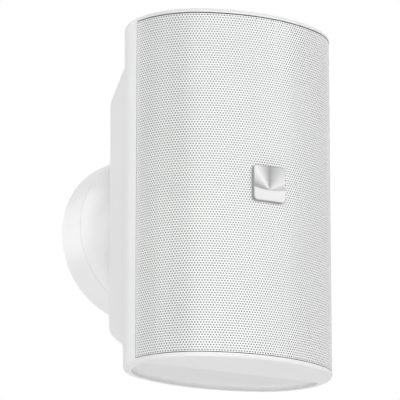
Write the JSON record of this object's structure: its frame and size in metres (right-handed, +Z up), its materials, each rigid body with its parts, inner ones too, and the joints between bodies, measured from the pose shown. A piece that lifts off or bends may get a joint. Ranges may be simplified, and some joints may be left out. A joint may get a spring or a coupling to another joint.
{
  "type": "outdoor wall speaker",
  "caption": "Outdoor two-way loudspeaker with an oval white housing, curved perforated grille and a ball-swivel wall mount that turns and tilts.",
  "frame": {"origin": "centre of the wall screw circle on the wall plane", "axes": "+Y into the wall, -Y out of the wall to the listener, +Z up, +X to the right seen from the front"},
  "size_m": [0.1732, 0.2216, 0.28],
  "materials": {
    "housing_white": "satin white moulding",
    "baffle_black": "fine matte",
    "gasket_foam": "soft matte",
    "screw_black": "blackened",
    "grille_white": "powder coat",
    "cloth_grey": "open weave",
    "badge_silver": "brushed",
    "basket_black": "satin",
    "cone_grey": "satin",
    "surround_rubber": "soft matte",
    "trim_rubber": "matte",
    "spider_cloth": "resin-stiffened weave",
    "coil_copper": "enamelled copper",
    "magnet_steel": "zinc plate",
    "ferrite": "ground ferrite",
    "faceplate_black": "fine matte",
    "tweeter_silk": "coated weave",
    "board_green": "solder mask",
    "capacitor_blue": "gloss",
    "resistor_ceramic": "ceramic",
    "terminal_green": "matte",
    "zinc_steel": "zinc plate",
    "plate_steel": "zinc plate",
    "mount_white": "satin white moulding",
    "nylon": "natural nylon",
    "spring_steel": "oiled spring steel",
    "seal_rubber": "matte"
  },
  "bodies": {
    "mount_base": {"wall_plate": "plate_steel", "mount_drum": "mount_white", "lock_screws": "zinc_steel", "friction_washer": "nylon", "retaining_ring": "spring_steel"},
    "dome": {"mount_dome": "mount_white"},
    "stem": {"swivel_stem": "zinc_steel", "clamp_washer": "nylon", "disc_spring": "spring_steel", "stem_seal": "seal_rubber", "stem_nut": "zinc_steel", "cable_gland": "seal_rubber"},
    "diaphragm": {"woofer_cone": "cone_grey", "woofer_dust_cap": "cone_grey", "woofer_voice_coil": "coil_copper"},
    "speaker": {"enclosure": "housing_white", "baffle": "baffle_black", "baffle_gasket": "gasket_foam", "baffle_screws": "screw_black", "grille": "grille_white", "grille_cloth": "cloth_grey", "badge": "badge_silver", "woofer_basket": "basket_black", "woofer_gasket": "gasket_foam", "woofer_surround": "surround_rubber", "woofer_trim_ring": "trim_rubber", "woofer_spider": "spider_cloth", "woofer_top_plate": "magnet_steel", "woofer_magnet": "ferrite", "woofer_back_plate": "magnet_steel", "woofer_screws": "screw_black", "tweeter_faceplate": "faceplate_black", "tweeter_dome": "tweeter_silk", "tweeter_top_plate": "magnet_steel", "tweeter_magnet": "ferrite", "tweeter_back_plate": "magnet_steel", "tweeter_screws": "screw_black", "crossover_board": "board_green", "crossover_coils": "coil_copper", "crossover_capacitors": "capacitor_blue", "crossover_resistor": "resistor_ceramic", "input_terminals": "terminal_green", "board_screws": "zinc_steel"}
  },
  "joints": [
    {"name": "dome_turn", "type": "hinge", "parent": "mount_base", "child": "dome", "pos_m": [0, 0, 0], "axis": [0, 1, 0], "range_deg": [-90, 90]},
    {"name": "tilt", "type": "hinge", "parent": "dome", "child": "stem", "pos_m": [0, -0.0315, 0], "axis": [1, 0, 0], "range_deg": [-20, 20]},
    {"name": "speaker_turn", "type": "hinge", "parent": "stem", "child": "speaker", "pos_m": [0, -0.0315, 0], "axis": [0, 1, 0], "range_deg": [-90, 90]},
    {"name": "cone_travel", "type": "slide", "parent": "speaker", "child": "diaphragm", "axis": [0, -1, 0], "range_m": [-0.0035, 0.0035], "stiffness_N_per_m": 1800, "deforming": ["woofer_surround", "woofer_spider"]}
  ]
}
